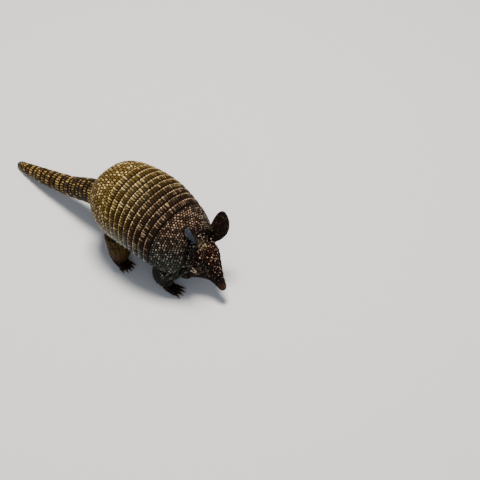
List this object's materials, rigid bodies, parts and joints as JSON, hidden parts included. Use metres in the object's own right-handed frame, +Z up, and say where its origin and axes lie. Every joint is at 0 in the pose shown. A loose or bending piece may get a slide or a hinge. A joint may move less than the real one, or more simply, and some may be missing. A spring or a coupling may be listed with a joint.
{
  "type": "armadillo figurine",
  "caption": "Small painted cast figurine of a nine-banded armadillo standing with its snout held low, banded shell and long ringed tail.",
  "frame": {"origin": "bottom centre of the bounding box, on the surface that the figurine stands on", "axes": "+Z up, the animal faces -Y, its tail points to +Y, its left side is +X"},
  "size_m": [0.0472, 0.1598, 0.0503],
  "materials": {
    "shoulder_paint": "cast resin, dark brown wash with pink-cream dry-brushed scutes, satin varnish",
    "shell_paint": "cast resin, dark brown wash with cream-gold dry-brushed bands, satin varnish",
    "tail_paint": "cast resin, dark brown wash with ochre dry-brushed rings, satin varnish",
    "skin_paint": "cast resin, near-black brown paint with ochre dry-brushed skin folds, satin varnish",
    "face_paint": "cast resin, red-brown paint with pink-tan dry-brushed scales, satin varnish",
    "ear_paint": "cast resin, black-brown paint, blue-grey inside, satin varnish",
    "eye_gloss": "cast resin, dark brown paint under a drop of clear gloss varnish",
    "claw_paint": "cast resin, horn-coloured paint, satin varnish"
  },
  "bodies": {
    "root": {"shoulder_shield": "shoulder_paint", "band_1": "shell_paint", "band_2": "shell_paint", "band_3": "shell_paint", "band_4": "shell_paint", "band_5": "shell_paint", "band_6": "shell_paint", "band_7": "shell_paint", "band_8": "shell_paint", "band_9": "shell_paint", "pelvic_shield": "shell_paint", "trunk": "skin_paint", "neck": "skin_paint", "head": "face_paint", "head_shield": "face_paint", "ear_left": "ear_paint", "ear_right": "ear_paint", "eye_left": "eye_gloss", "eye_right": "eye_gloss", "tail_ring_1": "tail_paint", "tail_ring_2": "tail_paint", "tail_ring_3": "tail_paint", "tail_ring_4": "tail_paint", "tail_ring_5": "tail_paint", "tail_ring_6": "tail_paint", "tail_ring_7": "tail_paint", "tail_ring_8": "tail_paint", "tail_ring_9": "tail_paint", "tail_ring_10": "tail_paint", "tail_tip": "tail_paint", "leg_front_left": "skin_paint", "foot_front_left": "skin_paint", "claw_front_left_1": "claw_paint", "claw_front_left_2": "claw_paint", "claw_front_left_3": "claw_paint", "claw_front_left_4": "claw_paint", "leg_front_right": "skin_paint", "foot_front_right": "skin_paint", "claw_front_right_1": "claw_paint", "claw_front_right_2": "claw_paint", "claw_front_right_3": "claw_paint", "claw_front_right_4": "claw_paint", "leg_hind_left": "skin_paint", "foot_hind_left": "skin_paint", "claw_hind_left_1": "claw_paint", "claw_hind_left_2": "claw_paint", "claw_hind_left_3": "claw_paint", "claw_hind_left_4": "claw_paint", "claw_hind_left_5": "claw_paint", "leg_hind_right": "skin_paint", "foot_hind_right": "skin_paint", "claw_hind_right_1": "claw_paint", "claw_hind_right_2": "claw_paint", "claw_hind_right_3": "claw_paint", "claw_hind_right_4": "claw_paint", "claw_hind_right_5": "claw_paint"}
  },
  "joints": []
}
